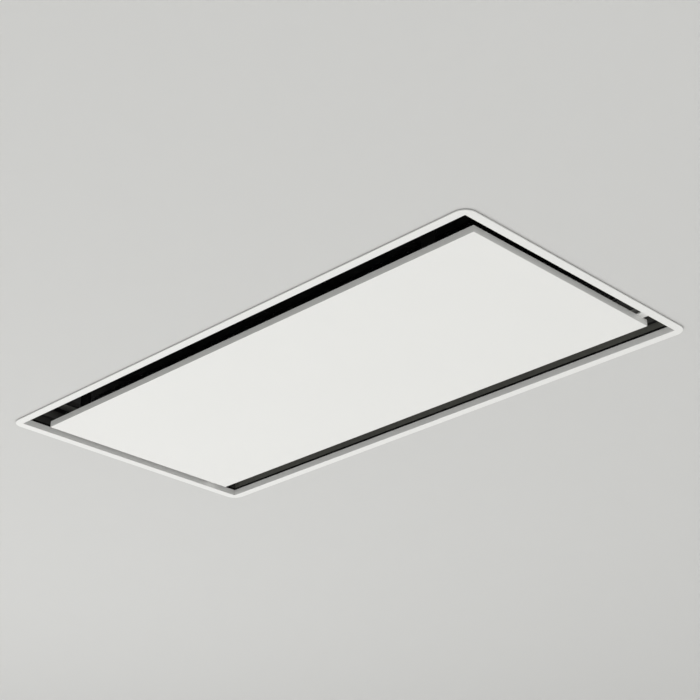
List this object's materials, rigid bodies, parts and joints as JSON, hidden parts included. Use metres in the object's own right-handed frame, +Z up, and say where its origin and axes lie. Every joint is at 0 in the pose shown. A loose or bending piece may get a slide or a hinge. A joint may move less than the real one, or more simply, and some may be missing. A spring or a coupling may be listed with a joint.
{
  "type": "ceiling range hood",
  "caption": "Ceiling range hood: a rectangular trim frame and a hinged panel with a suction slot all round, filters, blower and a round duct outlet above.",
  "frame": {"origin": "middle of the underside, in the plane of the frame's and the panel's lower faces", "axes": "+Z up into the ceiling, +X along the hood's long side, +Y towards the panel's hinge"},
  "size_m": [1, 0.5, 0.332],
  "materials": {
    "white_paint": "satin white powder coat",
    "black_paint": "matt black powder coat",
    "zinc_sheet": "galvanised sheet with fine spangle",
    "filter_aluminium": "black anodised",
    "steel": "bright zinc plate",
    "magnet": "nickel plate",
    "black_plastic": "moulded, fine grain",
    "grey_plastic": "moulded",
    "rubber": "matt",
    "motor_paint": "dark enamel",
    "capacitor_can": "moulded can",
    "board": "lacquered circuit board",
    "cable_sheath": "soft sheath"
  },
  "bodies": {
    "housing": {"trim_frame": "white_paint", "channel_strips_long": "black_paint", "channel_strips_short": "black_paint", "filter_tray": "black_paint", "filter_rail_front": "black_paint", "filter_rail_rear": "black_paint", "hinge_brackets": "black_paint", "catch_brackets": "black_paint", "wall_front": "zinc_sheet", "wall_rear": "zinc_sheet", "wall_left": "zinc_sheet", "wall_right": "zinc_sheet", "top_cover": "zinc_sheet", "hanging_brackets": "zinc_sheet", "filter_frame_left": "filter_aluminium", "filter_frame_middle": "filter_aluminium", "filter_frame_right": "filter_aluminium", "filter_mesh_left": "filter_aluminium", "filter_mesh_middle": "filter_aluminium", "filter_mesh_right": "filter_aluminium", "sheet_screws": "steel", "hinge_pins": "steel", "bracket_rivets": "steel", "scroll_screws": "steel", "motor_screws": "steel", "outlet_screws": "steel", "damper_pin": "steel", "motor_spider": "steel", "capacitor_clip": "steel", "catch_magnets": "magnet", "scroll_left": "black_plastic", "scroll_right": "black_plastic", "outlet_spigot": "black_plastic", "cable_gland": "black_plastic", "gland_locknut": "black_plastic", "control_box": "grey_plastic", "control_box_lid": "grey_plastic", "terminal_block": "grey_plastic", "motor_mounts": "rubber", "motor": "motor_paint", "capacitor": "capacitor_can", "control_board": "board", "motor_lead": "cable_sheath"},
    "panel": {"panel_skin": "white_paint", "panel_cover": "zinc_sheet", "panel_ribs": "zinc_sheet", "hinge_arm_left": "white_paint", "hinge_arm_right": "white_paint", "hinge_arm_screws": "steel", "strike_plates": "steel"},
    "latch_left": {"filter_latch_left": "black_plastic"},
    "latch_middle": {"filter_latch_middle": "black_plastic"},
    "latch_right": {"filter_latch_right": "black_plastic"},
    "wheel": {"impeller_disc": "zinc_sheet", "impeller_blades": "zinc_sheet", "impeller_rings": "zinc_sheet", "motor_shaft": "steel", "shaft_nut": "steel"},
    "flap_front": {"damper_flap_front": "black_plastic"},
    "flap_rear": {"damper_flap_rear": "black_plastic"}
  },
  "joints": [
    {"name": "panel_hinge", "type": "hinge", "parent": "housing", "child": "panel", "pos_m": [0, 0.178, 0.017], "axis": [1, 0, 0], "range_deg": [0, 90]},
    {"name": "latch_left_slide", "type": "slide", "parent": "housing", "child": "latch_left", "axis": [0, 1, 0], "range_m": [0, 0.005], "stiffness_N_per_m": 300, "springref_m": -0.002},
    {"name": "latch_middle_slide", "type": "slide", "parent": "housing", "child": "latch_middle", "axis": [0, 1, 0], "range_m": [0, 0.005], "stiffness_N_per_m": 300, "springref_m": -0.002},
    {"name": "latch_right_slide", "type": "slide", "parent": "housing", "child": "latch_right", "axis": [0, 1, 0], "range_m": [0, 0.005], "stiffness_N_per_m": 300, "springref_m": -0.002},
    {"name": "wheel_spin", "type": "hinge", "parent": "housing", "child": "wheel", "pos_m": [0, 0.05, 0.18235], "axis": [1, 0, 0], "continuous": true},
    {"name": "flap_front_swing", "type": "hinge", "parent": "housing", "child": "flap_front", "pos_m": [0, 0, 0.3025], "axis": [1, 0, 0], "range_deg": [-80, 0]},
    {"name": "flap_rear_swing", "type": "hinge", "parent": "housing", "child": "flap_rear", "pos_m": [0, 0, 0.3025], "axis": [1, 0, 0], "range_deg": [0, 80]}
  ]
}
